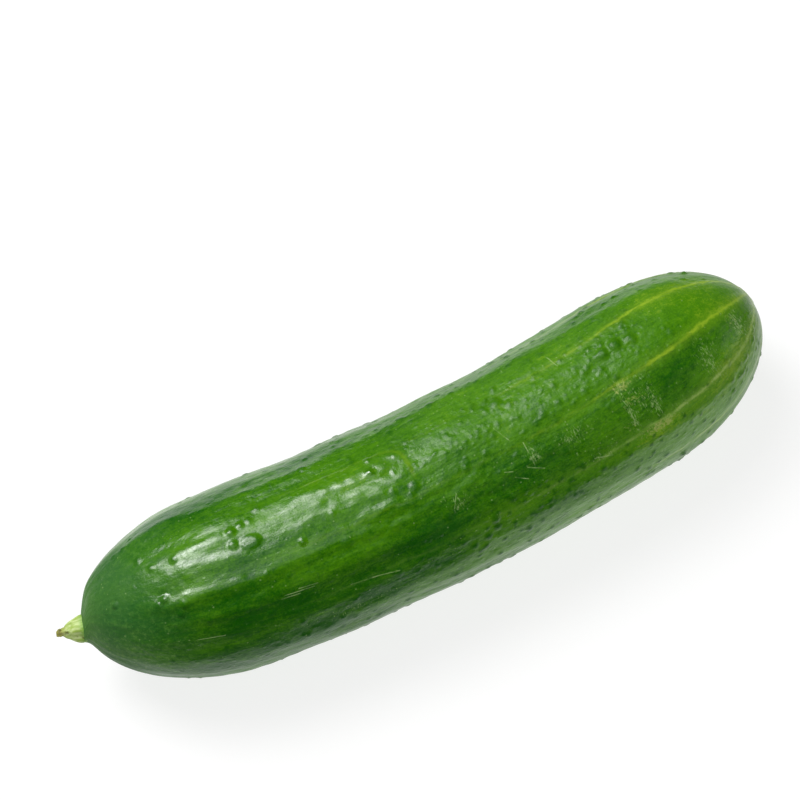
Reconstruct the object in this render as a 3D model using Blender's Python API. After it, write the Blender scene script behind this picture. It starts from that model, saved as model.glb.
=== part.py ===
"""Fresh cucumber lying on a table: the fruit and the stub of its stem.

The long axis runs along X, with the stem end at -X and the blossom end at +X.
The fruit bows in the horizontal plane, and both of its ends turn towards +Y.
The origin is under the middle of the cucumber, on the surface that it rests on.
Everything is in metres, with +Z up.
"""
import math

import bmesh
import bpy
from mathutils import Matrix, Vector

# Fruit: driving dimensions
FRUIT_LENGTH = 0.200
BODY_RADIUS = 0.0244
LOBE_COUNT = 3
LOBE_DEPTH = 0.012          # each lobe stands proud by this share of the radius
STEM_SHOULDER = 0.0475      # length over which the stem end rounds off
STEM_FULLNESS = 2.2         # 2 gives an ellipse, and more gives a blunter end
BLOSSOM_SHOULDER = 0.0442
BLOSSOM_FULLNESS = 2.4
STEM_SEAT_RADIUS = 0.0037   # flat disc that the stub grows from
STEM_SEAT_SHIFT = 0.0034    # the seat stands this far off the end's middle, towards -Y
STEM_SEAT_REACH = 0.0030    # that step aside has faded out this far behind the seat
STEM_SEAT_POWER = 3         # more makes it fade sooner
BLOSSOM_SCAR_RADIUS = 0.0015

# Fruit: bow of its centreline
BOW = 0.0084                # how far both ends stand off to +Y
STEM_TURN = 0.0040          # extra turn of the stem end, over its last third
BLOSSOM_TURN = 0.0016
BLOSSOM_RISE = 0.0030       # the blossom end's tip also lifts a little
TURN_POWER = 6

# Fruit: where it rests
FLAT_DEPTH = 0.0003         # how far the underside is pressed flat

# Stub of the stem
STUB_GAP = 0.0003
STUB_BEND = 0.0008          # how far its tip leans back towards -Y
STUB_RIDGES = 5
STUB_RIDGE_DEPTH = 0.07
STUB_PROFILE = (            # distance from the base, radius
    (0.0000, 0.0036),
    (0.0008, 0.0035),
    (0.0018, 0.0032),
    (0.0028, 0.0028),
    (0.0039, 0.0023),
    (0.0048, 0.0017),
    (0.0055, 0.0011),
    (0.0060, 0.0010),
    (0.0066, 0.0011),
    (0.0071, 0.0008),
)

# Mesh density
FRUIT_RINGS = 56
FRUIT_SIDES = 56
STUB_SIDES = 20

# Materials: base colour, roughness, metallic
SKIN_FINISH = ((0.045, 0.150, 0.012), 0.35, 0.0)
STUB_FINISH = ((0.380, 0.520, 0.130), 0.60, 0.0)

SHARP_EDGE_ANGLE = math.radians(50)


def clear_scene():
    for obj in list(bpy.data.objects):
        bpy.data.objects.remove(obj, do_unlink=True)


def make_material(name, finish):
    colour, roughness, metallic = finish
    material = bpy.data.materials.new(name)
    material.use_nodes = True
    shader = material.node_tree.nodes["Principled BSDF"]
    shader.inputs["Base Color"].default_value = (*colour, 1.0)
    shader.inputs["Roughness"].default_value = roughness
    shader.inputs["Metallic"].default_value = metallic
    return material


def loft(name, rings, material):
    """Skin a row of closed rings, each a list of points, and cap both ends."""
    bm = bmesh.new()
    loops = []
    for ring in rings:
        verts = [bm.verts.new(point) for point in ring]
        neighbours = verts[1:] + verts[:1]
        loops.append([bm.edges.new(pair) for pair in zip(verts, neighbours)])
    for loop, next_loop in zip(loops, loops[1:]):
        bmesh.ops.bridge_loops(bm, edges=loop + next_loop)
    for end_loop in (loops[0], loops[-1]):
        bmesh.ops.contextual_create(bm, geom=end_loop)
    bmesh.ops.recalc_face_normals(bm, faces=bm.faces)
    mesh = bpy.data.meshes.new(name)
    bm.to_mesh(mesh)
    bm.free()
    mesh.materials.append(material)
    mesh.shade_smooth()
    mesh.set_sharp_from_angle(angle=SHARP_EDGE_ANGLE)
    obj = bpy.data.objects.new(name, mesh)
    bpy.context.scene.collection.objects.link(obj)
    return obj


def end_rounding(distance, shoulder, fullness):
    """Share of the body radius at a distance from a tip: a superellipse arc."""
    reach = max(0.0, 1 - distance / shoulder)
    return math.sqrt(1 - reach ** fullness)


def tip_distance(radius, shoulder, fullness):
    """Distance from a tip at which the rounded end has reached a radius."""
    share = radius / BODY_RADIUS
    return shoulder * (1 - (1 - share ** 2) ** (1 / fullness))


def fruit_radius(x):
    half = FRUIT_LENGTH / 2
    stem_end = end_rounding(half + x, STEM_SHOULDER, STEM_FULLNESS)
    blossom_end = end_rounding(half - x, BLOSSOM_SHOULDER, BLOSSOM_FULLNESS)
    return BODY_RADIUS * stem_end * blossom_end


def centreline(x):
    """The fruit's axis: a parabola in plan whose ends turn further by a high power."""
    along = x / (FRUIT_LENGTH / 2)
    turn = BLOSSOM_TURN if along > 0 else STEM_TURN
    rise = BLOSSOM_RISE if along > 0 else 0.0
    tip = abs(along) ** TURN_POWER
    height = BODY_RADIUS * (1 - LOBE_DEPTH) - FLAT_DEPTH
    return Vector((x, BOW * along ** 2 + turn * tip, height + rise * tip))


def axes(x):
    """Unit directions at x: along the centreline to the blossom end, to its side, and up."""
    step = FRUIT_LENGTH / 1000
    forward = (centreline(x + step) - centreline(x - step)).normalized()
    side = Vector((0, 0, 1)).cross(forward).normalized()
    return forward, side, forward.cross(side)


def section_centre(x):
    """Middle of the fruit's section: the centreline, but for a quick step aside to the stem seat."""
    behind_seat = x - fruit_ends()[0]
    share = max(0.0, 1 - behind_seat / STEM_SEAT_REACH)
    return centreline(x) - STEM_SEAT_SHIFT * share ** STEM_SEAT_POWER * axes(x)[1]


def fruit_ring(x):
    """Section across the centreline: a circle with three shallow lobes, one of them on top."""
    _, side, up = axes(x)
    centre = section_centre(x)
    radius = fruit_radius(x)
    ring = []
    for i in range(FRUIT_SIDES):
        angle = 2 * math.pi * i / FRUIT_SIDES
        reach = radius * (1 + LOBE_DEPTH * math.cos(LOBE_COUNT * angle))
        point = centre + reach * (math.cos(angle) * up + math.sin(angle) * side)
        point.z = max(point.z, 0.0)
        ring.append(point)
    return ring


def fruit_ends():
    """The x of the flat stem seat and of the blossom scar."""
    half = FRUIT_LENGTH / 2
    first = tip_distance(STEM_SEAT_RADIUS, STEM_SHOULDER, STEM_FULLNESS) - half
    last = half - tip_distance(BLOSSOM_SCAR_RADIUS, BLOSSOM_SHOULDER, BLOSSOM_FULLNESS)
    return first, last


def make_fruit(material):
    first, last = fruit_ends()
    rings = []
    for i in range(FRUIT_RINGS):
        share = (1 - math.cos(math.pi * i / (FRUIT_RINGS - 1))) / 2
        rings.append(fruit_ring(first + (last - first) * share))
    return loft("fruit", rings, material)


def stub_ring(distance, radius):
    """Ridged section of the stub, in its own frame with +Z along the stub."""
    lean = STUB_BEND * (distance / STUB_PROFILE[-1][0]) ** 2
    ring = []
    for i in range(STUB_SIDES):
        angle = 2 * math.pi * i / STUB_SIDES
        reach = radius * (1 + STUB_RIDGE_DEPTH * math.cos(STUB_RIDGES * angle))
        ring.append(Vector((reach * math.cos(angle) + lean, reach * math.sin(angle), distance)))
    return ring


def make_stub(material, fruit):
    """The stub stands on the stem seat, square to it, and is parented to the fruit."""
    stub = loft("stem_stub", [stub_ring(*station) for station in STUB_PROFILE], material)
    seat_x = fruit_ends()[0]
    forward, side, up = axes(seat_x)
    turn = Matrix((-side, up, -forward)).transposed()
    stub.parent = fruit
    stub.rotation_euler = turn.to_euler()
    stub.location = section_centre(seat_x) - STUB_GAP * forward
    return stub


def centre_on_origin(fruit, pieces):
    """Slide the cucumber so that the middle of its box stands over the origin."""
    bpy.context.view_layer.update()
    points = [piece.matrix_world @ vert.co for piece in pieces for vert in piece.data.vertices]
    for axis in (0, 1):
        values = [point[axis] for point in points]
        fruit.location[axis] -= (min(values) + max(values)) / 2


def main():
    clear_scene()
    fruit = make_fruit(make_material("cucumber_skin", SKIN_FINISH))
    stub = make_stub(make_material("stem_stub", STUB_FINISH), fruit)
    centre_on_origin(fruit, (fruit, stub))


main()
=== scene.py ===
"""Looks of a fresh cucumber: its skin, the stub of its stem, and a plain studio.

The frame has +X along the fruit to its blossom end, +Y to the side that both ends bow
towards, +Z up, and the floor at z = 0. Places on the fruit are given as a distance from
its stem end and an angle from its top, positive towards +Y.
"""
import math
from math import radians

import bpy
import numpy as np
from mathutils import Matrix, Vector


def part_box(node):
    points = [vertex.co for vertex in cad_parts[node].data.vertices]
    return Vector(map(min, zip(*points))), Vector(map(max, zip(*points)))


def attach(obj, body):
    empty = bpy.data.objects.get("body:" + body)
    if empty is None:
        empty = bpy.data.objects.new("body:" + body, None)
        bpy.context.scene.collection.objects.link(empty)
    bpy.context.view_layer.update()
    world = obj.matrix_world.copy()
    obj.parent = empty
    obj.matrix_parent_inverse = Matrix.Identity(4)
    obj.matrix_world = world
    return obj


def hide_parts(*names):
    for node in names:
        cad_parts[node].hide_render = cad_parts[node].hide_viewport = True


bl_info = {
    "name": "Cucumber",
    "version": (1, 0, 0),
    "blender": (4, 5, 0),
    "location": "View3D > Sidebar > Cucumber",
    "description": "Builds a fresh cucumber, the stub of its stem and a plain studio",
    "category": "Object",
}

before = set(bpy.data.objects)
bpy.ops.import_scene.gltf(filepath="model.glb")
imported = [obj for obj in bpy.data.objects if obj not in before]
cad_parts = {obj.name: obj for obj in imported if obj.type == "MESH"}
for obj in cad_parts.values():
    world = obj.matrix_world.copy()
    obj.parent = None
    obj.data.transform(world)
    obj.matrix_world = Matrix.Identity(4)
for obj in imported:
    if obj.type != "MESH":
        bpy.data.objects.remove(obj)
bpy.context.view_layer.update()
FRUIT_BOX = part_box("fruit")
FRUIT_MIDDLE_Y = (FRUIT_BOX[0][1] + FRUIT_BOX[1][1]) / 2

FRUIT_LENGTH = 0.200
TURN_POWER = 6  # how late the ends turn off the parabola of the bow
SEAT_PLACE = 0.0005  # distance of the stem seat from the tip of the rounded end
SEAT_POWER = 3  # how quickly the step aside to the seat fades
LOBE_COUNT = 3
VEIN_COUNT = 10
SEED = 7


# ---- settings

def number_setting(name, description, default, **kind):
    return bpy.props.FloatProperty(name=name, description=description, default=default, **kind)


def length_setting(name, description, default):
    return number_setting(name, description, default, unit="LENGTH")


def colour_setting(name, description, default):
    return bpy.props.FloatVectorProperty(
        name=name, description=description, default=(*default, 1.0), subtype="COLOR", size=4)


class FruitSettings(bpy.types.PropertyGroup):
    """Sizes and colours of the fruit."""

    body_radius: length_setting("Body radius", "Radius of the middle of the fruit", 0.0244)
    lobe_depth: number_setting(
        "Lobe depth", "Height of the three lobes, as a share of the radius", 0.012, subtype="FACTOR")
    stem_shoulder: length_setting("Stem shoulder", "Length over which the stem end rounds off", 0.0475)
    stem_fullness: number_setting("Stem fullness", "2 gives an ellipse, and more is blunter", 2.2)
    blossom_shoulder: length_setting(
        "Blossom shoulder", "Length over which the blossom end rounds off", 0.0442)
    blossom_fullness: number_setting("Blossom fullness", "2 gives an ellipse, and more is blunter", 2.4)
    bow: length_setting("Bow", "How far both ends stand off to +Y", 0.0084)
    stem_turn: length_setting("Stem turn", "Extra turn of the stem end", 0.0040)
    blossom_turn: length_setting("Blossom turn", "Extra turn of the blossom end", 0.0016)
    blossom_rise: length_setting("Blossom rise", "How far the blossom end's tip lifts", 0.0030)
    seat_shift: length_setting(
        "Seat shift", "How far off the middle of its end the stem grows, towards -Y", 0.0034)
    seat_reach: length_setting("Seat reach", "Length over which that step aside fades out", 0.0030)
    flat_depth: length_setting("Flat depth", "How far the underside is pressed flat", 0.0003)
    rib_height: length_setting("Rib height", "Height of the lengthwise unevenness", 0.00010)
    hammer_height: length_setting("Hammer height", "Height of the small round unevenness", 0.000028)
    wart_count: bpy.props.IntProperty(
        name="Wart count", description="Number of small warts strewn over the skin", default=560)
    wart_height: length_setting("Wart height", "Height of a small wart", 0.00026)
    dark_green: colour_setting("Dark green", "Skin in the dark stripes", (0.006, 0.085, 0.0006))
    mid_green: colour_setting("Mid green", "Skin in the light stripes", (0.068, 0.225, 0.0012))
    # Skin round the stem; its blue is partly a painted sheen
    stem_green_and_sheen: colour_setting("Stem green", "Skin round the stem", (0.029, 0.125, 0.024))
    # Bloom, and also painted sheen and painted floor reflection laid over the skin
    bloom_and_sheen_green: colour_setting("Haze green", "Faint waxy bloom over the skin", (0.18, 0.38, 0.07))
    vein_lime: colour_setting("Vein lime", "Lines that run to the blossom end", (0.31, 0.47, 0.022))
    scuff_straw: colour_setting("Scuff straw", "Rubbed patches", (0.33, 0.41, 0.10))
    scratch_pale: colour_setting("Scratch pale", "Fine scratches and specks", (0.40, 0.56, 0.22))
    scar_tan: colour_setting("Scar tan", "Dry scar of the blossom", (0.26, 0.20, 0.08))


class StubSettings(bpy.types.PropertyGroup):
    """Sizes and colours of the stub of the stem."""

    base_radius: length_setting("Base radius", "Radius of the stub where it leaves the fruit", 0.0036)
    length: length_setting("Length", "Length of the stub from the fruit to its tip", 0.0074)
    bend: length_setting("Bend", "How far the tip leans back towards -Y", 0.0008)
    ridge_depth: number_setting(
        "Ridge depth", "Depth of the five ridges, as a share of the radius", 0.07, subtype="FACTOR")
    pale_green: colour_setting("Pale green", "Flesh of the stub", (0.33, 0.48, 0.08))
    pale_straw: colour_setting("Pale straw", "Fibres of the stub", (0.60, 0.72, 0.30))
    base_green: colour_setting("Base green", "Stub where it leaves the fruit", (0.16, 0.36, 0.03))
    dry_olive: colour_setting("Dry olive", "Dried tip", (0.30, 0.26, 0.035))
    spot_brown: colour_setting("Spot brown", "Dried spots", (0.10, 0.10, 0.015))


class StudioSettings(bpy.types.PropertyGroup):
    """Camera, floor and lights."""

    azimuth: number_setting(
        "Azimuth", "Turn about the vertical; 0 looks along +Y", radians(-27.3), subtype="ANGLE")
    elevation: number_setting(
        "Elevation", "The camera's height above the horizon", radians(72), subtype="ANGLE")
    distance: length_setting("Distance", "From the camera to the point it looks at", 1.4)
    lens: number_setting("Lens", "Focal length", 235, unit="CAMERA")
    aim: bpy.props.FloatVectorProperty(
        name="Aim", description="The point the camera looks at", subtype="XYZ", unit="LENGTH",
        default=(FRUIT_BOX[1][0] - 0.0987, FRUIT_MIDDLE_Y + 0.0232, 0.0320))
    floor_size: length_setting("Floor size", "Side of the square floor", 6.0)


# ---- materials

# Places of a Mix node's colour sockets, whose names its other sockets share
COLOUR_A = 6
COLOUR_B = 7
COLOUR_RESULT = 2


class Shade:
    """A number that varies over a surface: it wraps a socket, and each operator adds a Math node."""

    def __init__(self, paint, socket):
        self.paint = paint
        self.socket = socket

    def math(self, operation, first, second=0.0):
        node = self.paint.node("ShaderNodeMath", {"operation": operation}, {0: first, 1: second})
        return Shade(self.paint, node.outputs[0])

    def __add__(self, other):
        return self.math("ADD", self, other)

    def __sub__(self, other):
        return self.math("SUBTRACT", self, other)

    def __rsub__(self, other):
        return self.math("SUBTRACT", other, self)

    def __mul__(self, other):
        return self.math("MULTIPLY", self, other)

    def __truediv__(self, other):
        return self.math("DIVIDE", self, other)

    def __abs__(self):
        return self.math("ABSOLUTE", self)

    __radd__ = __add__
    __rmul__ = __mul__

    def sine(self):
        return self.math("SINE", self)

    def rounded(self):
        return self.math("ROUND", self)

    def least(self, other):
        return self.math("MINIMUM", self, other)

    def most(self, other):
        return self.math("MAXIMUM", self, other)

    def ramp(self, start, end, low=0.0, high=1.0):
        """Eases from low at start to high at end, and holds both beyond them."""
        inputs = {"Value": self, "From Min": start, "From Max": end, "To Min": low, "To Max": high}
        node = self.paint.node("ShaderNodeMapRange", {"interpolation_type": "SMOOTHSTEP"}, inputs)
        return Shade(self.paint, node.outputs["Result"])


class Paint:
    """A material's node tree: adds nodes, and links what they are given."""

    def __init__(self, name):
        self.material = bpy.data.materials.new(name)
        self.material.use_nodes = True
        self.tree = self.material.node_tree
        self.shader = self.tree.nodes["Principled BSDF"]

    def node(self, kind, settings=(), inputs=()):
        """Adds a node of a kind, with its settings first and then its sockets' values or links."""
        node = self.tree.nodes.new(kind)
        for name, value in dict(settings).items():
            setattr(node, name, value)
        self.fill(node, inputs)
        return node

    def fill(self, node, inputs):
        for name, value in dict(inputs).items():
            if isinstance(value, Shade):
                value = value.socket
            if isinstance(value, bpy.types.NodeSocket):
                self.tree.links.new(value, node.inputs[name])
            else:
                node.inputs[name].default_value = value

    def attribute(self, name, output="Fac"):
        node = self.node("ShaderNodeAttribute", {"attribute_name": name})
        return Shade(self, node.outputs[output])

    def split(self, vector):
        node = self.node("ShaderNodeSeparateXYZ", inputs={"Vector": vector})
        return [Shade(self, output) for output in node.outputs]

    def join(self, x, y, z=0.0):
        node = self.node("ShaderNodeCombineXYZ", inputs={"X": x, "Y": y, "Z": z})
        return Shade(self, node.outputs["Vector"])

    def vector(self, operation, first, second=(0, 0, 0), output="Vector"):
        node = self.node("ShaderNodeVectorMath", {"operation": operation}, {0: first, 1: second})
        return Shade(self, node.outputs[output])

    def noise(self, place, along, across, detail=2.0, roughness=0.5):
        """Noise from 0 to 1 about 0.5, with so many waves per metre along X and across it."""
        scaled = self.vector("MULTIPLY", place, (along, across, across))
        inputs = {"Vector": scaled, "Scale": 1.0, "Detail": detail, "Roughness": roughness}
        node = self.node("ShaderNodeTexNoise", inputs=inputs)
        return Shade(self, node.outputs["Fac"])

    def dots(self, place, along, across):
        """Distance to the nearest of many strewn points, in cells, and that point's random number."""
        scaled = self.vector("MULTIPLY", place, (along, across, across))
        node = self.node("ShaderNodeTexVoronoi", {"feature": "F1"}, {"Vector": scaled, "Scale": 1.0})
        lot = self.split(node.outputs["Color"])[0]
        return Shade(self, node.outputs["Distance"]), lot

    def blend(self, share, first, second):
        """The first colour where share is 0 and the second where it is 1."""
        settings = {"data_type": "RGBA", "clamp_factor": True}
        node = self.node("ShaderNodeMix", settings, {"Factor": share, COLOUR_A: first, COLOUR_B: second})
        return node.outputs[COLOUR_RESULT]

    def bump(self, height):
        """The normal of a surface that is uneven by a height in metres."""
        inputs = {"Strength": 1.0, "Distance": 1.0, "Height": height}
        return self.node("ShaderNodeBump", inputs=inputs).outputs["Normal"]

    def stroke(self, place, start, end, width):
        """1 on a straight scratch from start to end, easing to 0 at its width."""
        run = (end[0] - start[0], end[1] - start[1], 0.0)
        span = run[0] ** 2 + run[1] ** 2
        offset = self.vector("SUBTRACT", place, (*start, 0.0))
        share = self.vector("DOT_PRODUCT", offset, tuple(c / span for c in run), "Value")
        share = share.most(0.0).least(1.0)
        foot = self.node("ShaderNodeVectorMath", {"operation": "SCALE"}, {0: run, "Scale": share})
        gap = self.vector("DISTANCE", offset, foot.outputs["Vector"], "Value")
        return gap.ramp(0.0, width, 1.0, 0.0)


# Long scratches: (mm from the stem end, degrees from the top) of both ends
SCRATCHES = (
    ((50, -37), (58, -38.5)),
    ((49, -38.5), (54, -39.5)),
    ((54, -36), (59, -37.2)),
    ((67, -48), (74, -50)),
    ((72, -49), (80, -52.5)),
    ((141, 32), (142, 20)),
    ((138, -45), (143, -50)),
    ((117, -30), (120, -35)),
    ((115, -24), (117, -26)),
    ((123, -23), (123, -29)),
    ((121, -28), (125, -34)),
    ((123, -13), (123, -19)),
    ((118, 3), (120, -8)),
    ((101, -22), (99, -30)),
    ((26, -50), (33, -51)),
)

STRIPE_TURN = 9  # degrees from the top to the border of a dark stripe
VEIN_TURN = 26.5  # degrees from the top to a vein
SCRATCH_WIDTH = 0.00023
SKIN_IOR = 1.34
WAX_IOR = 1.72
WAX_ROUGHNESS = 0.17

# Heights of the skin's fine unevenness, in metres
PEEL_HEIGHT = 0.00015
PEBBLE_HEIGHT = 0.00013
GROOVE_HEIGHT = 0.00009
GRAIN_HEIGHT = 0.00005
WRINKLE_HEIGHT = 0.00002
SCRATCH_HEIGHT = 0.00003
SCAR_HEIGHT = 0.0005


class SkinPaint(Paint):
    """Cucumber skin, painted in layers from the stripes up to the wear, and then its bump and gloss.

    The growth attribute holds metres along the fruit, to its side and up, as if it were straight.
    Patterns read it, so they follow the bow.
    """

    def __init__(self, s):
        super().__init__("cucumber_skin")
        self.s = s
        self.growth = self.attribute("growth", "Vector")
        self.along, side, up = self.split(self.growth)
        self.angle = side.math("ARCTAN2", side, up)
        self.radius = self.vector("LENGTH", self.join(0.0, side, up), output="Value")
        self.border = self.grown(18, 90, 3) - 0.5
        self.mottle = self.grown(520, 720, 4, 0.7) - 0.5
        self.patches = self.grown(60, 90, 3) - 0.5
        self.worn = self.grown(110, 60, 3, 0.6).ramp(0.36, 0.60, 0.30, 1.0)
        self.fleck = self.grown(620, 620, 5, 0.85)
        from_scar = self.radius + self.along.ramp(0.150, 0.180, 1.0, 0.0) + self.mottle * 0.0022
        self.scar_ring = from_scar.ramp(0.0016, 0.0075, 0.40, 0.0)
        self.scar = from_scar.ramp(0.0014, 0.0023, 1.0, 0.0)

    def grown(self, *settings):
        """Noise that follows the fruit, from 0 to 1."""
        return self.noise(self.growth, *settings)

    def turned(self, start, end, low=0.0, high=1.0):
        """Eases from low to high between two angles from the top, in degrees."""
        return self.angle.ramp(radians(start), radians(end), low, high)

    def layer(self, colour, share):
        """Lays a colour over those before it: all of it where share is 1, none where it is 0."""
        self.colour = self.blend(share, self.colour, colour)

    def stripes(self):
        """Every second gap between the veins is darker, with uneven borders and a mottled tone."""
        s = self.s
        streaks = self.grown(110, 1300, 4, 0.65) - 0.5
        pores = self.grown(1900, 2300, 3, 0.7) - 0.5
        phase = (self.angle - radians(STRIPE_TURN)) * (VEIN_COUNT / 2) + math.pi / 2
        stripe = (phase + self.border * 3.0).sine()
        # Patches of darker and lighter skin: partly the skin's own tone, partly painted shade, painted
        # highlight and painted reflection
        shade = self.attribute("lighter_skin_and_painted_light") - self.attribute("darker_skin_and_painted_shade")
        tone = stripe * 0.10 + 0.60 + streaks * 0.8 + self.mottle + pores + self.patches * 0.9
        tone = tone + self.along.ramp(0.06, 0.17, -0.06, 0.06) + shade * 0.6
        self.colour = self.blend(tone.ramp(0.0, 1.0), s.dark_green, s.mid_green)
        self.layer(s.vein_lime, (tone - 0.85).ramp(0.0, 0.6) * 0.5)

    def veins(self):
        """Lime lines to the blossom scar, which fade towards the middle and are paler low down."""
        s = self.s
        spacing = 2 * math.pi / VEIN_COUNT
        wander = self.grown(25, 30, 1) - 0.5
        wiggle = self.grown(130, 130, 2) - 0.5
        bend = self.along.ramp(0.130, 0.200, -0.07, 0.05)
        bend = bend + self.along.ramp(0.150, 0.200) * self.angle.sine() * 0.14
        turn = (self.angle - radians(VEIN_TURN)) / spacing + wander * 0.14 + wiggle * 0.11 - bend
        off_line = abs(turn - turn.rounded()) * spacing * self.radius
        edge = self.grown(420, 1100, 3, 0.7) * 0.0020
        line = (off_line + edge).ramp(0.0009, 0.0018, 1.0, 0.0)
        glow = off_line.ramp(0.0, 0.0032, 1.0, 0.0) * self.along.ramp(0.100, 0.190, 0.5, 1.4)
        reach = (self.along + wander * 0.05).ramp(0.124, 0.174, 0.10, 1.0) * self.along.ramp(0.04, 0.07)
        whole = self.worn.ramp(0.30, 0.80, 0.35, 1.0).most(self.along.ramp(0.172, 0.190, 0.0, 0.9))
        vein = self.blend(self.turned(-18, -42) * 0.55, s.vein_lime, s.scratch_pale)
        self.layer(vein, glow * reach * 0.11)
        self.layer(vein, line * reach * whole * 0.68)

    def welt_rim(self):
        """The edge of the welt is lighter."""
        rim = self.attribute("welt_edge").ramp(0.2, 1.0) * self.worn.most(0.5)
        self.layer(self.s.vein_lime, rim * 0.28)

    def stem_end(self):
        """Bluish green, whose blue is partly a painted sheen, with light and dark flecks, and a faint
        collar round the stub.
        """
        s = self.s
        reach = (self.along + self.patches * 0.02).ramp(0.004, 0.032, 1.0, 0.0)
        # Stem-end colour, partly a painted sheen
        self.layer(s.stem_green_and_sheen, reach * 0.80)
        flecked = self.along.ramp(0.016, 0.034, 1.0, 0.0) * self.turned(-10, -60, 0.45, 1.0)
        self.layer(s.bloom_and_sheen_green, self.fleck.ramp(0.50, 0.66) * flecked * 0.42)
        self.layer(s.dark_green, self.fleck.ramp(0.48, 0.34) * flecked * 0.50)
        self.layer(s.bloom_and_sheen_green, (self.along + self.patches * 0.004).ramp(0.0006, 0.0070, 0.22, 0.0))

    def blossom_end(self):
        """The dry scar where the blossom sat, in a pale ring."""
        self.layer(self.s.scratch_pale, self.scar_ring)
        self.layer(self.s.scar_tan, self.scar * 0.85)

    def bloom_and_painted_sheen(self):
        """A haze that is rubbed off here and there; on top by the stem it is a painted sheen, and low on
        the blossom half it is partly a painted reflection of the floor.
        """
        along = self.along
        # Painted sheen on top near the stem
        painted_sheen_top = abs(self.angle + radians(3)).ramp(radians(20), radians(9))
        painted_sheen = along.ramp(0.010, 0.022) * along.ramp(0.036, 0.026) * painted_sheen_top
        bloom = self.grown(120, 160, 4, 0.6).ramp(0.35, 0.75)
        self.layer(self.s.bloom_and_sheen_green, bloom * (painted_sheen * 0.32 + 0.04))
        # Paler low on the blossom half: partly bloom, partly a painted reflection of the lit floor
        pale_patches = self.grown(160, 520, 4, 0.65).ramp(0.30, 0.70, 0.10, 0.52)
        start = self.angle + self.border * 0.15 + along.ramp(0.130, 0.165, radians(6), radians(-3))
        start = start - along.ramp(0.168, 0.190, 0.0, radians(3))
        pale_side_and_painted_reflection = start.ramp(radians(-52), radians(-68)) * along.ramp(0.080, 0.125, 0.10, 1.0)
        self.layer(self.s.bloom_and_sheen_green, pale_side_and_painted_reflection * pale_patches)

    def warts_and_specks(self):
        """Warts are a little darker than the skin round them, and more on the sides, which is painted
        shade; tiny pale dots are strewn between.
        """
        # Darker warts, more so on the sides as painted shade
        wart_tone_and_shade = abs(self.angle).ramp(radians(35), radians(56), 0.38, 0.85)
        wart_tone_and_shade = wart_tone_and_shade * self.along.ramp(0.160, 0.190, 1.0, 0.5)
        self.layer(self.s.dark_green, self.attribute("wart") * wart_tone_and_shade)
        gap, lot = self.dots(self.growth, 900, 900)
        self.layer(self.s.scratch_pale, gap.ramp(0.10, 0.28, 1.0, 0.0) * lot.ramp(0.87, 0.92) * 0.30)

    def scratches(self):
        """Long scratches, and grazes: bundles of fine ones that run across the fruit."""
        s = self.s
        sheet = self.join(self.along, self.angle * s.body_radius)
        self.scratch = None
        for ends in SCRATCHES:
            start, end = [(mm / 1000, radians(turned) * s.body_radius) for mm, turned in ends]
            mark = self.stroke(sheet, start, end, SCRATCH_WIDTH)
            self.scratch = mark if self.scratch is None else self.scratch.most(mark)
        broken = self.grown(450, 450, 1).ramp(0.30, 0.65, 0.15, 1.0)
        self.layer(s.scratch_pale, self.scratch * broken * 0.62)
        graze = self.attribute("graze")
        hair = (self.grown(2400, 700, 3, 0.75) + graze * 0.26).ramp(0.66, 0.80)
        self.layer(s.scratch_pale, hair * graze.ramp(0.02, 0.3) * 0.46)

    def rubbed_patches(self):
        """Straw-coloured patches, broken up by a fine grit."""
        grit = self.grown(1300, 1300, 3, 0.7)
        self.rubbed = (self.attribute("scuff") * 0.50 + grit).ramp(0.74, 0.96)
        self.layer(self.s.scuff_straw, self.rubbed * 0.8)

    def relief(self):
        """Orange peel, pebbles, lengthwise grooves, grain, wrinkles across the fruit, and the marks."""
        pebbled = self.along.ramp(0.085, 0.105, 0.60, 1.0) * self.along.ramp(0.160, 0.185, 1.0, 0.4)
        peel = self.grown(620, 850, 2)
        cell, size = self.dots(self.growth, 620, 680)
        pebble = cell.ramp(0.0, 0.60, 1.0, 0.0) * size.ramp(0.25, 0.95)
        height = (peel * PEEL_HEIGHT + pebble * PEBBLE_HEIGHT) * pebbled
        height = height + self.grown(160, 1200, 2) * GROOVE_HEIGHT
        height = height + self.grown(2000, 2200, 1) * GRAIN_HEIGHT
        height = height + self.grown(1600, 420, 2) * WRINKLE_HEIGHT
        return height + self.scratch * SCRATCH_HEIGHT + self.scar * self.fleck * SCAR_HEIGHT

    def roughness(self):
        """Matt round the stem, glossy on the stem half, softer beyond the welt and low down."""
        shine = self.grown(90, 200, 3) - 0.5
        matt_end = (self.along + shine * 0.006).ramp(0.008, 0.018, 0.26, 0.0)
        soft_top = self.along.ramp(0.088, 0.104) * self.turned(-36, -20, 0.0, 0.11)
        soft_sides = self.turned(-48, -62) + self.turned(36, 50)
        marks = self.rubbed + self.scar
        return soft_top + matt_end + soft_sides * 0.04 + shine * 0.14 + marks * 0.2 + 0.27

    def wax(self):
        """Wax that shines in streaks, most of it on top of the stem half."""
        along = self.along
        stem_half = along.ramp(0.088, 0.106, 1.0, 0.0)
        streaky = self.grown(90, 700, 4, 0.65).ramp(0.38, 0.62, 0.50, 1.0)
        glint = self.grown(1500, 2100, 3, 0.75).ramp(0.38, 0.60, 0.35, 1.0)
        sheen = self.attribute("sheen") * 0.80 + 0.17
        top = abs(self.angle - radians(6)).ramp(radians(30), radians(44), 1.0, 0.0)
        top = top * along.ramp(0.010, 0.020) * streaky * glint * (stem_half * sheen + 0.07)
        upper = self.turned(36, 50) * along.ramp(0.025, 0.055, 0.03, 0.18)
        lower = self.turned(-48, -62) * (stem_half * -0.07 + 0.07)
        return top + upper + lower + self.turned(57, 66) * along.ramp(0.030, 0.060, 0.34, 0.04)


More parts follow.
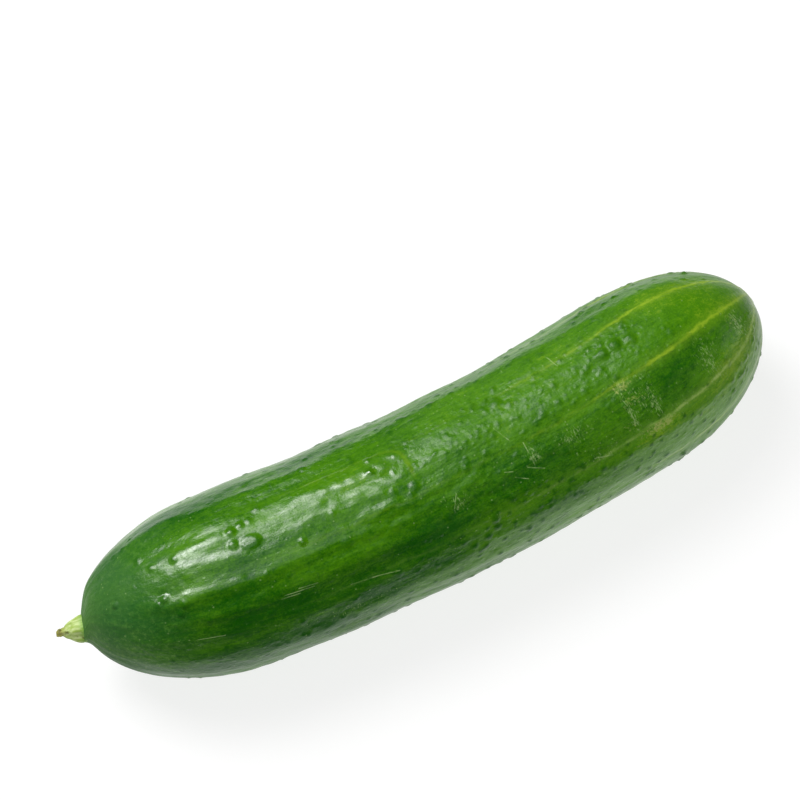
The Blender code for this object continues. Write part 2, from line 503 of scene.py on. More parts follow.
def paint_skin(s):
    """Cucumber skin: green stripes, lime veins, end tints, bloom, warts, scratches and scuffs, with
    painted sheen, shade and reflection in places.
    """
    skin = SkinPaint(s)
    skin.stripes()
    skin.veins()
    skin.welt_rim()
    skin.stem_end()
    skin.blossom_end()
    skin.bloom_and_painted_sheen()
    skin.warts_and_specks()
    skin.scratches()
    skin.rubbed_patches()
    skin.fill(skin.shader, {
        "Base Color": skin.colour,
        "Roughness": skin.roughness(),
        "Normal": skin.bump(skin.relief()),
        "IOR": SKIN_IOR,
        "Coat Weight": skin.wax(),
        "Coat IOR": WAX_IOR,
        "Coat Roughness": WAX_ROUGHNESS,
    })
    return skin.material


def paint_stub(s):
    """Dry stem: pale green with lengthwise fibres, brown spots and an olive tip."""
    paint = Paint("stem_stub")
    place = paint.attribute("growth", "Vector")
    along = paint.split(place)[0]
    fibre = paint.noise(place, 150, 1600, 3)
    spots = paint.noise(place, 500, 500, 2)
    colour = paint.blend(fibre.ramp(0.35, 0.7), s.pale_green, s.pale_straw)
    colour = paint.blend(along.ramp(0.0, 0.0016, 0.8, 0.0), colour, s.base_green)
    tip = (along + fibre * 0.002).ramp(0.0052, 0.0078)
    colour = paint.blend(tip * 0.85, colour, s.dry_olive)
    colour = paint.blend(spots.ramp(0.60, 0.72) * 0.8, colour, s.spot_brown)
    paint.fill(paint.shader, {
        "Base Color": colour,
        "Roughness": fibre * 0.2 + 0.45,
        "Normal": paint.bump(fibre * 0.00008 + spots * 0.00005),
    })
    return paint.material


def paint_stage(name, grey, glow):
    """Matt white acrylic, which may be lit softly from below."""
    paint = Paint(name)
    paint.fill(paint.shader, {
        "Base Color": (grey, grey, grey, 1),
        "Roughness": 0.9,
        "Emission Color": (1, 1, 1, 1),
        "Emission Strength": glow,
    })
    return paint.material


# ---- surfaces

def waves(rng, along, angle, radius, long_wave, cross_wave, count):
    """Smooth random relief of unit size: the sum of count cosine waves.

    Each wave runs in a random direction. Its length is about long_wave along the fruit and
    cross_wave round it, and a whole number of waves fits round, so that the relief closes.
    """
    total = np.zeros_like(angle)
    for _ in range(count):
        heading = rng.uniform(0, 2 * math.pi)
        spread = rng.uniform(0.6, 1.4)
        phase = rng.uniform(0, 2 * math.pi)
        per_metre = spread * math.cos(heading) * 2 * math.pi / long_wave
        round_count = round(spread * math.sin(heading) * 2 * math.pi * radius / cross_wave)
        total += np.cos(along * per_metre + angle * round_count + phase)
    return total * math.sqrt(2 / count)


def eased(value, start, end):
    """Smooth step: 0 at start, 1 at end, with no slope at either."""
    share = np.clip((value - start) / (end - start), 0, 1)
    return share * share * (3 - 2 * share)


def unit(vectors):
    """Vectors divided by their lengths."""
    return vectors / np.linalg.norm(vectors, axis=-1, keepdims=True)


def add_object(name, data):
    """Puts a mesh, a light or a camera into the scene."""
    thing = bpy.data.objects.new(name, data)
    bpy.context.scene.collection.objects.link(thing)
    return thing


PROFILE_STEPS = 4000


class FruitForm:
    """The fruit's smooth form, before any relief. x runs along it, and angle round it from the top."""

    def __init__(self, s):
        self.s = s
        self.half = FRUIT_LENGTH / 2

    def radius(self, x):
        """Body radius times an arc at each end: sqrt(1 - (1 - distance / shoulder) ^ fullness)."""
        s = self.s
        stem = np.clip(1 - (self.half + x) / s.stem_shoulder, 0, 1)
        blossom = np.clip(1 - (self.half - x) / s.blossom_shoulder, 0, 1)
        ends = (1 - stem ** s.stem_fullness) * (1 - blossom ** s.blossom_fullness)
        return s.body_radius * np.sqrt(np.clip(ends, 0, 1))

    def centre(self, x):
        """A parabola in plan, whose ends turn and lift further by the sixth power."""
        s = self.s
        share = x / self.half
        tip = np.abs(share) ** TURN_POWER
        turn = np.where(share > 0, s.blossom_turn, s.stem_turn)
        rise = np.where(share > 0, s.blossom_rise, 0.0)
        height = s.body_radius * (1 - s.lobe_depth) - s.flat_depth
        return np.stack([x, s.bow * share ** 2 + turn * tip, height + rise * tip], axis=-1)

    def axes(self, x):
        """Unit vectors along the centreline, to its side and up."""
        step = FRUIT_LENGTH / 1000
        forward = unit(self.centre(x + step) - self.centre(x - step))
        side = unit(np.cross((0.0, 0.0, 1.0), forward))
        return forward, side, np.cross(forward, side)

    def middle(self, x):
        """Middle of the section: the centreline, less a step aside that fades behind the stem seat."""
        behind = np.clip(1 - (x + self.half - SEAT_PLACE) / self.s.seat_reach, 0, 1)
        aside = self.s.seat_shift * behind ** SEAT_POWER
        return self.centre(x) - aside[..., None] * self.axes(x)[1]

    def surface(self, x, angle):
        """Circle across the centreline with three lobes: radius times 1 + depth cos 3 angle."""
        _, side, up = self.axes(x)
        reach = self.radius(x) * (1 + self.s.lobe_depth * np.cos(LOBE_COUNT * angle))
        outward = np.cos(angle)[..., None] * up + np.sin(angle)[..., None] * side
        return self.middle(x) + reach[..., None] * outward

    def stations(self, count, first_gap, last_gap):
        """x of rings that are evenly spaced along the profile's own length."""
        turn = np.linspace(0, math.pi, PROFILE_STEPS)
        x = -self.half * np.cos(turn)
        x = np.clip(x, -self.half + first_gap, self.half - last_gap)
        steps = np.hypot(np.diff(x), np.diff(self.radius(x)))
        run = np.concatenate([[0], np.cumsum(steps)])
        return np.interp(np.linspace(0, run[-1], count), run, x)


def grid_normals(points):
    """Outward unit normals of a grid that closes round its second axis."""
    along = np.gradient(points, axis=0)
    around = np.roll(points, -1, axis=1) - np.roll(points, 1, axis=1)
    return unit(np.cross(along, around))


# Unevenness: wave length along the fruit and round it in metres, and how many waves
RIB_WAVES = (0.060, 0.0065, 40)
LUMP_WAVES = (0.030, 0.022, 24)
HAMMER_WAVES = (0.0042, 0.0032, 60)
WAVY_WAVES = (0.0090, 0.0036, 40)
WAVY_HEIGHT = 0.00006
WANDER_WAVES = (0.020, 1.0, 6)
WANDER_ANGLE = 0.02

# Ridges that run lengthwise: start mm, end mm, degrees at both ends, half width mm, height mm
RIDGES = (
    (11, 44, -17.5, -18, 2.7, 0.66),
    (38, 78, -18, -20, 2.0, 0.40),
    (18, 74, -0.5, 0.5, 2.0, 0.30),
    (64, 96, -2, -4, 2.0, 0.24),
    (20, 90, 12.5, 14, 2.0, 0.28),
    (72, 88, -9, -10, 1.4, 0.20),
    (22, 96, -33, -33, 2.8, 0.44),
    (72, 104, -13, -14, 1.8, 0.36),
    (68, 112, -22, -20, 1.9, 0.44),
    (76, 106, -28, -30, 1.7, 0.38),
    (95, 150, 6, 2, 3.0, 0.14),
    (8, 62, -77, -77, 3.6, 0.46),
    (56, 106, -69, -72, 3.2, 0.42),
    (90, 180, -61, -58, 3.0, 0.20),
    (10, 82, 41, 42, 3.2, 0.40),
    (72, 188, 45, 44, 3.2, 0.34),
)

# The welt, a low plateau on top of the stem half: middle and half size in mm and degrees, height mm
WELT_MIDDLE = (74, 8)
WELT_HALF = (19.5, 16.5)
WELT_HEIGHT = 0.22

# Ring and dimple of the blossom scar, in metres
SCAR_RIM = 0.0024
SCAR_RIM_WIDTH = 0.0008
SCAR_RIM_HEIGHT = 0.00024
SCAR_DIMPLE = 0.0014
SCAR_DIMPLE_DEPTH = 0.0002

# Gentle swellings of the form: mm from the stem end, degrees, length mm, width mm, height mm
SWELLINGS = (
    (34, 68, 44, 15, 0.85),
    (3, 60, 7, 9, 0.35),
)

# Where the skin is wavy as well: mm from the stem end, degrees, length mm, width mm, strength
WAVY = (
    (90, -18, 20, 8, 1.0),
    (76, 8, 20, 6, 0.5),
    (45, -14, 22, 3, 0.4),
)

# Large warts: mm from the stem end, degrees, length mm, width mm, height mm
WARTS = (
    (46.6, 2, 2.8, 1.9, 0.40),
    (42.2, 4, 1.3, 1.2, 0.42),
    (42.8, 12.5, 1.3, 1.1, 0.40),
    (45.6, 15, 1.1, 0.9, 0.26),
    (48.3, 16, 1.0, 0.9, 0.22),
    (51.5, 22, 1.0, 0.9, 0.24),
    (59.2, -10, 1.0, 1.0, 0.42),
    (53, -26, 0.9, 0.9, 0.26),
    (47.6, -20, 0.8, 0.8, 0.24),
    (40, -37, 0.8, 0.8, 0.24),
    (43, -38, 0.7, 0.7, 0.20),
    (26.4, 9.5, 1.1, 1.0, 0.28),
    (19.8, 10.5, 0.9, 1.0, 0.24),
    (21.5, -15, 1.0, 1.0, 0.42),
    (19.6, -18, 0.9, 0.9, 0.36),
    (25.6, -22, 0.9, 1.0, 0.38),
    (24.2, -28, 0.9, 1.0, 0.36),
    (8.9, -10, 0.8, 0.8, 0.42),
    (17, 22, 0.9, 1.4, 0.22),
    (70, -21, 1.5, 1.4, 0.30),
    (67.5, 39, 1.2, 1.2, 0.30),
    (71.8, 23.5, 0.9, 0.8, 0.22),
    (80, 31, 0.9, 0.9, 0.18),
    (92, -7, 1.3, 1.2, 0.34),
    (106.5, -9, 0.9, 0.9, 0.28),
    (113, -8, 0.9, 0.9, 0.24),
    (98, 46, 1.2, 1.3, 0.26),
    (107, 44, 1.2, 1.3, 0.26),
    (122, 19, 1.5, 1.6, 0.48),
    (125, 13, 1.2, 1.2, 0.30),
    (153.8, 10.5, 1.6, 1.6, 0.54),
    (158, 11.5, 1.6, 1.6, 0.56),
    (163, 9, 1.4, 1.3, 0.48),
    (155.3, 22, 0.9, 0.8, 0.24),
    (163.5, 22, 0.9, 0.9, 0.26),
    (148.4, 8, 0.9, 0.9, 0.24),
    (138, 8, 0.8, 0.8, 0.22),
    (151, 2, 1.2, 1.0, 0.24),
    (131.3, -4, 0.9, 1.0, 0.24),
    (136.5, -2, 0.9, 0.9, 0.24),
    (144.3, -4, 0.8, 0.9, 0.22),
    (173.5, -1, 1.0, 1.0, 0.24),
    (108, -49, 1.2, 1.5, 0.34),
    (104.8, -60, 1.1, 1.0, 0.30),
    (118, -40, 1.0, 1.0, 0.22),
    (113, -38, 0.9, 0.8, 0.20),
)

# Small warts in a winding row past the end of the welt
ROW_COUNT = 12
ROW_START = 93  # mm from the stem end
ROW_STEP = 2.1  # mm
ROW_TURN = 5  # degrees
ROW_SWAY = 1.8  # degrees
ROW_SIZES = (0.65, 0.60, 0.17)

# Clusters of small warts: mm from the stem end, degrees, spread mm, spread degrees, how many
CLUSTERS = (
    (112, 8, 12, 9, 34),
    (135, 4, 14, 12, 44),
    (152, 16, 9, 8, 18),
    (128, 30, 20, 6, 18),
    (120, -28, 16, 6, 16),
    (110, -54, 24, 5, 26),
    (150, -60, 22, 6, 26),
    (120, 54, 32, 6, 26),
)

# Half sizes of the small warts in mm, their widths as shares of their lengths, and their span in mm
CLUSTER_SIZES = (0.42, 0.70)
CLUSTER_RISE = 0.30
STREWN_SIZES = (0.55, 1.0)
WIDTH_SHARES = (0.85, 1.1)
STREWN_SPAN = (8, 194)

# Where few small warts grow: from mm, to mm, from degrees, to degrees
SPARSE_ZONES = (
    (165, 200, -45, 35),
    (0, 62, -43, 33),
)
SPARSE_SHARE = 0.12

# Broad patches of darker skin, some of them painted shade where the skin would mirror less light: mm from
# the stem end, degrees, length mm, width mm, strength
DARKER_SKIN_AND_PAINTED_SHADE = (
    (48, -48, 36, 6, 0.75),
    (85, -44, 28, 6, 0.60),
    (115, -30, 22, 5, 0.35),
    (52, -6, 26, 2.2, 0.45),
    (167, -30, 7, 6, 0.55),
    (30, -30, 16, 3, 0.40),
    (22, -54, 12, 5, 0.30),
    (45, -72, 28, 6, 0.80),
    (28, 54, 14, 5, 0.60),
    (76, -63, 20, 4, 0.90),
    (130, -66, 26, 5, 0.50),
    (168, -12, 12, 3, 0.30),
    (30, -82, 18, 4, 0.90),
)

# Broad patches of lighter skin, some of them painted highlight and painted reflection, given in the same
# way
LIGHTER_SKIN_AND_PAINTED_LIGHT = (
    (192, -6, 9, 3.5, 0.5),
    (110, -48, 20, 2.5, 0.35),
    (152, -52, 26, 4, 0.55),
    (187, -50, 17, 8, 0.90),
    (75, -28, 24, 3.5, 0.35),
    (56, -13, 9, 4, 0.35),
    (20, 68, 22, 4, 0.7),
    (10, -66, 9, 7, 0.5),
    (182, 34, 20, 9, 0.55),
    (60, 13, 42, 6, 0.20),
    (145, 30, 45, 10, 0.30),
    (75, 33, 40, 4, 0.20),
)

# Grazed patches, with many fine scratches across the fruit, given in the same way
GRAZES = (
    (152, -30, 1.6, 10, 0.8),
    (156, -26, 5, 7, 0.55),
    (159, -32, 1.8, 7, 0.8),
    (178, -32, 3.5, 10, 0.75),
    (191, -28, 3, 8, 0.9),
    (165, -44, 5, 3, 0.5),
    (136, -24, 7, 3, 0.6),
    (124, -23, 3, 3, 0.7),
    (101, -27, 4, 3, 0.6),
    (140, -46, 8, 2.5, 0.5),
    (156, -14, 7, 2.5, 0.4),
    (66, -66, 14, 3, 0.4),
)

# Streaks with more wax, given in the same way
SHEENS = (
    (36, 2.5, 13, 1.9, 0.9),
    (31, 14, 12, 2.4, 1.1),
    (60, 2, 6, 1.3, 0.8),
    (73, 14.5, 18, 2.2, 1.0),
    (86, 14.5, 7, 3.0, 1.7),
    (84, 8, 6, 2.2, 1.0),
    (24, -10, 6, 2.0, 0.9),
    (42, 11, 8, 3.0, 0.30),
    (70, 2, 2.6, 1.6, 0.9),
    (76, 2, 1.6, 1.4, 0.9),
    (82, 2, 2.6, 1.6, 0.9),
    (25, -14.5, 8, 2.2, 0.8),
    (40, -15.5, 12, 2.4, 0.75),
    (58, -13.0, 9, 1.8, 1.1),
    (40, -30, 15, 1.8, 1.1),
    (88, -15, 12, 1.6, 0.4),
    (92, -26, 12, 1.6, 0.4),
)

# Rubbed patches, given in the same way
SCUFFS = (
    (153, -13, 4, 2.0, 0.75),
    (154, -24, 5, 2.2, 0.6),
    (158, -49, 7, 2.2, 0.8),
    (150, -38, 6, 3, 0.4),
    (190, -20, 3, 5, 0.5),
)

WART_REACH = 3.2  # how far out a wart is worked out, in its own half sizes
BLISTER_LENGTH = 2  # mm, from which a wart is flatter on top
MOAT_SHARE = 0.14


def welt_share(along, angle):
    """1 on the welt and 0 off it, and then 1 on its edge alone.

    Its outline is |u| ^ 4 + |v| ^ 4 = 1 on its upper and far sides. It fades out on the others.
    """
    u = (along * 1000 - WELT_MIDDLE[0]) / WELT_HALF[0]
    v = (np.degrees(angle) - WELT_MIDDLE[1]) / WELT_HALF[1]
    edge = (u ** 4 + np.maximum(v, 0) ** 4) ** 0.25
    plateau = 1 - eased(edge, 0.92, 1.06)
    near = eased(u, -0.9, -0.3) * eased(v, -1.0, -0.1)
    return plateau * near, 4 * plateau * (1 - plateau) * near


def fine_relief(rng, form, x, angle):
    """Sums of waves: lengthwise ribs, broad lumps, small round unevenness, and some wavy patches."""
    s = form.s
    along = x + form.half
    ribs, lumps, hammer, wavy = [
        waves(rng, along, angle, s.body_radius, *kind)
        for kind in (RIB_WAVES, LUMP_WAVES, HAMMER_WAVES, WAVY_WAVES)]
    middle = eased(along, 0.050, 0.095) * (1 - eased(along, 0.165, 0.185))
    height = (ribs + lumps * 1.2) * s.rib_height
    height += wavy * WAVY_HEIGHT * patch_mask(WAVY, form, x, angle)
    height += hammer * s.hammer_height * (0.95 + 0.20 * middle)
    return height * form.radius(x) / s.body_radius


def ridge_relief(rng, form, x, angle):
    """Lengthwise ridges: each is a bell, exp(-u ^ 2), across a line that wanders a little."""
    millimetres = (x + form.half) * 1000
    height = np.zeros_like(angle)
    for start, end, first, last, half_width, rise in RIDGES:
        share = np.clip((millimetres - start) / (end - start), 0, 1)
        wander = waves(rng, x + form.half, np.zeros_like(angle), form.s.body_radius, *WANDER_WAVES)
        line = np.radians(first + (last - first) * share) + wander * WANDER_ANGLE
        off = (angle - line) * form.s.body_radius * 1000 / half_width
        length = eased(millimetres, start, start + 10) * (1 - eased(millimetres, end - 5, end))
        height += rise / 1000 * length * np.exp(-off ** 2)
    return height


def scar_relief(form, x):
    """The blossom scar: a low ring, exp(-u ^ 2) across its rim, round a shallow dimple."""
    radius = np.where(x > 0, form.radius(x), 1.0)
    rim = SCAR_RIM_HEIGHT * np.exp(-((radius - SCAR_RIM) / SCAR_RIM_WIDTH) ** 2)
    return rim - SCAR_DIMPLE_DEPTH * np.exp(-(radius / SCAR_DIMPLE) ** 2)


def strewn_warts(rng, s):
    """All warts: the large ones, the row, the clusters, and then those strewn over the whole fruit."""
    placed = list(WARTS)
    for i in range(ROW_COUNT):
        run = ROW_STEP * i
        placed.append((ROW_START + run, ROW_TURN + ROW_SWAY * math.sin(run), *ROW_SIZES))
    for at, turned, along_spread, round_spread, number in CLUSTERS:
        for _ in range(number):
            size = rng.uniform(*CLUSTER_SIZES)
            place = (rng.normal(at, along_spread), rng.normal(turned, round_spread))
            placed.append((*place, size, size * rng.uniform(*WIDTH_SHARES), CLUSTER_RISE * size))
    total = len(placed) + s.wart_count
    while len(placed) < total:
        at = rng.uniform(*STREWN_SPAN)
        turned = rng.uniform(-180, 180)
        draw = rng.uniform()
        size = rng.uniform(*STREWN_SIZES)
        density = 0.45 + 0.55 * float(eased(at, 60, 110))
        for low, high, left, right in SPARSE_ZONES:
            if low < at < high and left < turned < right:
                density *= SPARSE_SHARE
        if at < 40 and turned < -60:
            size *= 0.7
        if draw <= density:
            width = size * rng.uniform(*WIDTH_SHARES)
            placed.append((at, turned, size, width, s.wart_height * 1000 * size))
    return placed


def wart_relief(rng, form, x, angle, base):
    """Height of the warts, and a mask of them: a dome, exp(-d ^ p), in a shallow moat round d = 1.4 ^ 2.

    d is the squared distance from a wart's middle, in its own half sizes. p is 4 for the blister
    and 2.5 for the others. Only the rings near a wart are touched.
    """
    height = np.zeros_like(angle)
    mask = np.zeros_like(angle)
    forward = form.axes(x)[0]
    rows = x[:, 0]
    for at, turned, length, width, rise in strewn_warts(rng, form.s):
        middle = at / 1000 - form.half
        reach = WART_REACH * max(length, width) / 1000
        near = slice(*np.searchsorted(rows, (middle - reach, middle + reach)))
        gap = base[near] - form.surface(np.array(middle), np.array(radians(turned)))
        ahead = np.sum(gap * forward[near], axis=-1)
        across = np.sum(gap * gap, axis=-1) - ahead ** 2
        far = (ahead / (length / 1000)) ** 2 + across / (width / 1000) ** 2
        dome = np.exp(-far ** (4.0 if length > BLISTER_LENGTH else 2.5))
        moat = np.exp(-(np.sqrt(far) - 1.4) ** 2 * 8)
        height[near] += rise / 1000 * (dome - MOAT_SHARE * moat)
        mask[near] = np.maximum(mask[near], dome)
    return height, mask


def patch_mask(patches, form, x, angle):
    """Soft oval patches, each exp(-distance squared) times its strength."""
    mask = np.zeros_like(angle)
    for at, turned, length, width, strength in patches:
        ahead = (x + form.half - at / 1000) / (length / 1000)
        across = (angle - radians(turned)) * form.s.body_radius / (width / 1000)
        mask = np.maximum(mask, strength * np.exp(-ahead ** 2 - across ** 2))
    return mask


def close_grid(name, rings, attributes):
    """Mesh of a grid of rings that closes round, with faces outwards.

    Quads join neighbouring rings, and triangles join each end ring to a tip in its middle. Each
    attribute is a pair: its values on the rings, and its values at the two tips.
    """
    count, sides = rings.shape[:2]
    tips = [rings[0].mean(axis=0), rings[-1].mean(axis=0)]
    points = np.concatenate([rings.reshape(-1, 3), tips])
    ring = np.arange(count - 1)[:, None] * sides
    step = np.arange(sides)
    ahead = (step + 1) % sides
    quads = np.stack([ring + step, ring + sides + step, ring + sides + ahead, ring + ahead], axis=-1)
    first_tip, last_tip = count * sides, count * sides + 1
    last_ring = (count - 1) * sides
    first_fan = np.stack([np.full(sides, first_tip), step, ahead], axis=-1)
    last_fan = np.stack([np.full(sides, last_tip), last_ring + ahead, last_ring + step], axis=-1)
    mesh = bpy.data.meshes.new(name)
    faces = quads.reshape(-1, 4).tolist() + first_fan.tolist() + last_fan.tolist()
    mesh.from_pydata(points.tolist(), [], faces)
    for label, (values, at_tips) in attributes.items():
        flat = np.concatenate([values.reshape(count * sides, -1), np.reshape(at_tips, (2, -1))])
        kind, field = ("FLOAT_VECTOR", "vector") if flat.shape[1] == 3 else ("FLOAT", "value")
        layer = mesh.attributes.new(label, kind, "POINT")
        layer.data.foreach_set(field, flat.astype(np.float32).ravel())
    mesh.shade_smooth()
    mesh.validate()
    return add_object(name, mesh)


FRUIT_RINGS = 400
FRUIT_SIDES = 240
TOP_BIAS = 0.25  # how much closer together the columns are on top than below

# How far the first and last rings stand from the two tips, in metres
CAD_TIP_GAPS = (0.0005, 0.0001)
SKIN_TIP_GAPS = (0.00004, 0.00004)


def fruit_shift(form):
    """From the fruit's own frame to the CAD's: the blossom end and both sides meet the CAD fruit's box."""
    rows, turn = form.stations(FRUIT_RINGS, *CAD_TIP_GAPS), np.linspace(0, 2 * math.pi, 360)
    x, angle = np.meshgrid(rows, turn, indexing="ij")
    points = form.surface(x, angle).reshape(-1, 3)
    low, high = points.min(axis=0), points.max(axis=0)
    return np.array((FRUIT_BOX[1][0] - high[0], FRUIT_MIDDLE_Y - (low[1] + high[1]) / 2, 0.0))


PATCHES = {
    "scuff": SCUFFS,
    "graze": GRAZES,
    "sheen": SHEENS,
    "lighter_skin_and_painted_light": LIGHTER_SKIN_AND_PAINTED_LIGHT,
    "darker_skin_and_painted_shade": DARKER_SKIN_AND_PAINTED_SHADE,
}


def make_fruit(s):
    """Skin of the fruit: the smooth form moved along its normals by the relief, flat where it rests."""
    form = FruitForm(s)
    rng = np.random.default_rng(SEED)
    rows = form.stations(FRUIT_RINGS, *SKIN_TIP_GAPS)
    turn = (np.arange(FRUIT_SIDES) + 0.5) / FRUIT_SIDES * 2 * math.pi - math.pi
    x, angle = np.meshgrid(rows, turn - TOP_BIAS * np.sin(turn), indexing="ij")
    base = form.surface(x, angle)
    welt, welt_edge = welt_share(x + form.half, angle)
    height = fine_relief(rng, form, x, angle) + ridge_relief(rng, form, x, angle) + scar_relief(form, x)
    height += (patch_mask(SWELLINGS, form, x, angle) + WELT_HEIGHT * welt) / 1000
    warts, wart_mask = wart_relief(rng, form, x, angle, base)
    skin = base + grid_normals(base) * (height + warts)[..., None] + fruit_shift(form)
    skin[..., 2] = np.maximum(skin[..., 2], 0.0)

    radius = form.radius(x)
    growth = np.stack([x + form.half, radius * np.sin(angle), radius * np.cos(angle)], axis=-1)
    attributes = {
        "growth": (growth, [(0.0, 0.0, 0.0), (FRUIT_LENGTH, 0.0, 0.0)]),
        "wart": (wart_mask, (0.0, 0.0)),
        "welt_edge": (welt_edge, (0.0, 0.0)),
    }
    for name, patches in PATCHES.items():
        attributes[name] = (patch_mask(patches, form, x, angle), (0.0, 0.0))
    piece = close_grid("cucumber_skin", skin, attributes)
    piece.data.materials.append(paint_skin(s))
    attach(piece, "root")
    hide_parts("fruit")


# Stub profile: share of its length, share of its base radius
STUB_PROFILE = (
    (-0.10, 1.03),
    (0.00, 1.04),
    (0.09, 0.98),
    (0.24, 0.90),
    (0.38, 0.78),
    (0.52, 0.64),
    (0.64, 0.48),
    (0.74, 0.31),
    (0.80, 0.28),
    (0.90, 0.31),
    (0.97, 0.25),
    (1.00, 0.12),
)
STUB_RIDGES = 5
STUB_TWIST = 90  # radians of turn of the ridges per metre
STUB_RINGS = 90
STUB_SIDES = 72
PROFILE_BLUR = 7  # rings over which the profile's corners are rounded

# Unevenness of the stub: radius, both wave lengths in metres, how many waves, and its share of the radius
KNOT_WAVES = (0.002, 0.003, 0.004, 20)
KNOT_SHARE = 0.05
RAGGED_WAVES = (0.001, 0.0012, 0.0012, 20)
RAGGED_SHARE = 0.10


def make_stub(s):
    """Stub of the stem: its profile turned about its axis, with ridges, a lean and a ragged tip."""
    form = FruitForm(bpy.context.scene.cucumber_fruit)
    rng = np.random.default_rng(SEED + 1)
    share = np.linspace(STUB_PROFILE[0][0], 1.0, STUB_RINGS)
    profile = np.interp(share, *np.array(STUB_PROFILE).T)
    padded = np.pad(profile, PROFILE_BLUR // 2, mode="edge")
    profile = np.convolve(padded, np.full(PROFILE_BLUR, 1 / PROFILE_BLUR), mode="valid") * s.base_radius
    turn = np.linspace(0, 2 * math.pi, STUB_SIDES, endpoint=False)
    along, angle = np.meshgrid(share * s.length, turn, indexing="ij")

    ridges = 1 + s.ridge_depth * np.cos(STUB_RIDGES * angle + along * STUB_TWIST)
    knots = 1 + KNOT_SHARE * waves(rng, along, angle, *KNOT_WAVES)
    ragged = eased(along, 0.6 * s.length, 0.9 * s.length)
    knots += RAGGED_SHARE * ragged * waves(rng, along, angle, *RAGGED_WAVES)
    reach = profile[:, None] * ridges * knots
    beside, over = reach * np.cos(angle), reach * np.sin(angle)
    lean = s.bend * (along / s.length) ** 2

    seat = np.array(SEAT_PLACE - form.half)
    forward, side, up = form.axes(seat)
    start = form.middle(seat) + fruit_shift(form)
    points = start - along[..., None] * forward - (beside + lean)[..., None] * side + over[..., None] * up
    growth = np.stack([along, beside, over], axis=-1)
    tips = [(along[0, 0], 0.0, 0.0), (along[-1, 0], 0.0, 0.0)]
    piece = close_grid("stem_stub_skin", points, {"growth": (growth, tips)})
    piece.data.materials.append(paint_stub(s))
    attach(piece, "root")
    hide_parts("stem_stub")


# ---- studio

def from_angles(azimuth, elevation):
    """Unit vector from the subject to a viewer at an azimuth and elevation."""
    flat = math.cos(elevation)
    return np.array((math.sin(azimuth) * flat, -math.cos(azimuth) * flat, math.sin(elevation)))


def aim_at(obj, place, target):
    """Places an object and points its -Z axis at the target, with its Y axis as high as can be."""
    obj.location = place
    obj.rotation_euler = (Vector(target) - Vector(place)).to_track_quat("-Z", "Y").to_euler()


def make_camera(s):
    """Camera at its distance from the aim, in the direction of its azimuth and elevation."""
    camera = add_object("camera", bpy.data.cameras.new("camera"))
    camera.data.lens = s.lens
    camera.data.sensor_width = 36
    aim = np.array(s.aim)
    aim_at(camera, aim + s.distance * from_angles(s.azimuth, s.elevation), aim)
    bpy.context.scene.camera = camera


# Softboxes: name, azimuth and elevation in degrees, distance, width, height, brightness, seen in gloss
SOFTBOXES = (
    ("key_softbox", 196, 54, 1.0, 0.60, 0.72, 6.0, True),
    ("key_core", 205, 54, 1.0, 0.50, 0.30, 7.0, True),
    ("top_softbox", -63, 83, 1.1, 0.66, 0.62, 0.85, True),
    ("end_softbox", 73, 9, 1.2, 0.50, 0.36, 1.9, True),
    ("side_fill", 30, 30, 1.2, 0.90, 0.60, 2.0, False),
    ("front_fill", -38, 36, 1.2, 0.60, 0.60, 1.2, False),
)
SUBJECT = np.array((0.0, 0.0, 0.02))
WORLD_COLOUR = (0.95, 0.98, 1.0, 1.0)
WORLD_STRENGTH = 0.9


def make_lights():
    """Softboxes round the fruit, and a pale world that only the camera sees."""
    for name, azimuth, elevation, distance, width, height, brightness, glossy in SOFTBOXES:
        light = bpy.data.lights.new(name, "AREA")
        light.shape = "RECTANGLE"
        light.size = width
        light.size_y = height
        light.energy = brightness * math.pi * width * height
        lamp = add_object(name, light)
        lamp.visible_glossy = glossy
        place = SUBJECT + distance * from_angles(radians(azimuth), radians(elevation))
        aim_at(lamp, place, SUBJECT)
    world = bpy.data.worlds.new("studio")
    world.use_nodes = True
    background = world.node_tree.nodes["Background"]
    background.inputs["Color"].default_value = WORLD_COLOUR
    background.inputs["Strength"].default_value = WORLD_STRENGTH
    world.cycles_visibility.diffuse = False
    world.cycles_visibility.glossy = False
    bpy.context.scene.world = world


# Reach of the lit panel from below the camera's aim: to its left, to its right, and to and fro
PANEL_LEFT = 0.122
PANEL_RIGHT = 0.150
PANEL_DEEP = 0.130

# Grey and glow of the floor and of the panel
FLOOR_FINISH = (0.42, 0.58)
PANEL_FINISH = (0.24, 0.80)


def oblong(left, right, deep):
    """Corners of an oblong, anticlockwise from the near left one."""
    return ((left, -deep), (right, -deep), (right, deep), (left, deep))


def make_floor(s):
    """Square floor with a lit panel let into it under the fruit, both square to the camera.

    Only the panel shows in gloss, so the skin mirrors a dark studio beyond it.
    """
    across = np.array((math.cos(s.azimuth), math.sin(s.azimuth), 0.0))
    ahead = np.array((-across[1], across[0], 0.0))
    centre = np.array((s.aim[0], s.aim[1], 0.0))
    half = s.floor_size / 2
    inner = oblong(-PANEL_LEFT, PANEL_RIGHT, PANEL_DEEP)
    outer = oblong(-half, half, half)
    corners = [tuple(centre + u * across + v * ahead) for u, v in inner + outer]
    border = [(i, i + 4, (i + 1) % 4 + 4, (i + 1) % 4) for i in range(4)]
    for name, faces, material in (
        ("lit_panel", [(0, 1, 2, 3)], paint_stage("lit_panel", *PANEL_FINISH)),
        ("floor", border, paint_stage("pale_floor", *FLOOR_FINISH)),
    ):
        mesh = bpy.data.meshes.new(name)
        mesh.from_pydata(corners, [], faces)
        mesh.materials.append(material)
        piece = add_object(name, mesh)
        piece.visible_glossy = name == "lit_panel"


# ---- operators and panel

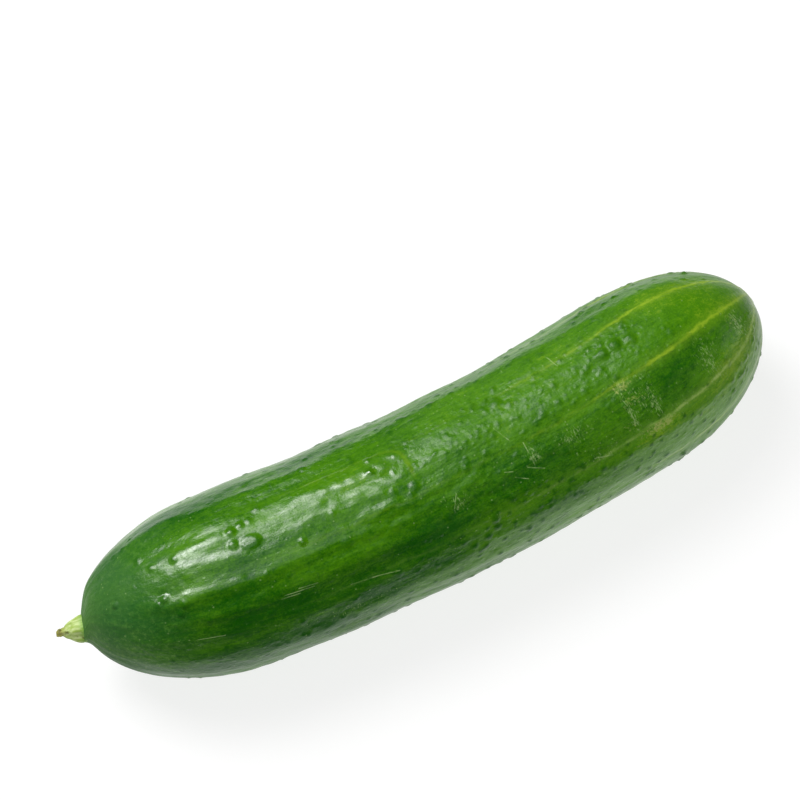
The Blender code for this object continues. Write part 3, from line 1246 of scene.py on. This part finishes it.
class CUCUMBER_OT_fruit(bpy.types.Operator):
    """Build the fruit with its skin"""

    bl_idname = "cucumber.fruit"
    bl_label = "Fruit"

    def execute(self, context):
        make_fruit(context.scene.cucumber_fruit)
        return {"FINISHED"}


class CUCUMBER_OT_stub(bpy.types.Operator):
    """Build the stub of the stem"""

    bl_idname = "cucumber.stub"
    bl_label = "Stem stub"

    def execute(self, context):
        make_stub(context.scene.cucumber_stub)
        return {"FINISHED"}


class CUCUMBER_OT_studio(bpy.types.Operator):
    """Set up the floor, the lights and the camera"""

    bl_idname = "cucumber.studio"
    bl_label = "Studio"

    def execute(self, context):
        studio = context.scene.cucumber_studio
        make_floor(studio)
        make_lights()
        make_camera(studio)
        context.scene.view_settings.view_transform = "Standard"
        return {"FINISHED"}


class CUCUMBER_PT_panel(bpy.types.Panel):
    """Lists the cucumber's pieces and their settings"""

    bl_idname = "CUCUMBER_PT_panel"
    bl_label = "Cucumber"
    bl_space_type = "VIEW_3D"
    bl_region_type = "UI"
    bl_category = "Cucumber"

    def draw(self, context):
        for operator, settings in (
            (CUCUMBER_OT_fruit, context.scene.cucumber_fruit),
            (CUCUMBER_OT_stub, context.scene.cucumber_stub),
            (CUCUMBER_OT_studio, context.scene.cucumber_studio),
        ):
            box = self.layout.box()
            box.operator(operator.bl_idname)
            for name in settings.__annotations__:
                box.prop(settings, name)


SETTINGS = {
    "cucumber_fruit": FruitSettings,
    "cucumber_stub": StubSettings,
    "cucumber_studio": StudioSettings,
}
CLASSES = (
    *SETTINGS.values(),
    CUCUMBER_OT_fruit,
    CUCUMBER_OT_stub,
    CUCUMBER_OT_studio,
    CUCUMBER_PT_panel,
)


def register():
    for cls in CLASSES:
        bpy.utils.register_class(cls)
    for name, cls in SETTINGS.items():
        setattr(bpy.types.Scene, name, bpy.props.PointerProperty(type=cls))


def unregister():
    for name in SETTINGS:
        delattr(bpy.types.Scene, name)
    for cls in reversed(CLASSES):
        bpy.utils.unregister_class(cls)


def main():
    register()
    bpy.ops.cucumber.studio()
    bpy.ops.cucumber.fruit()
    bpy.ops.cucumber.stub()


if __name__ == "__main__":
    main()
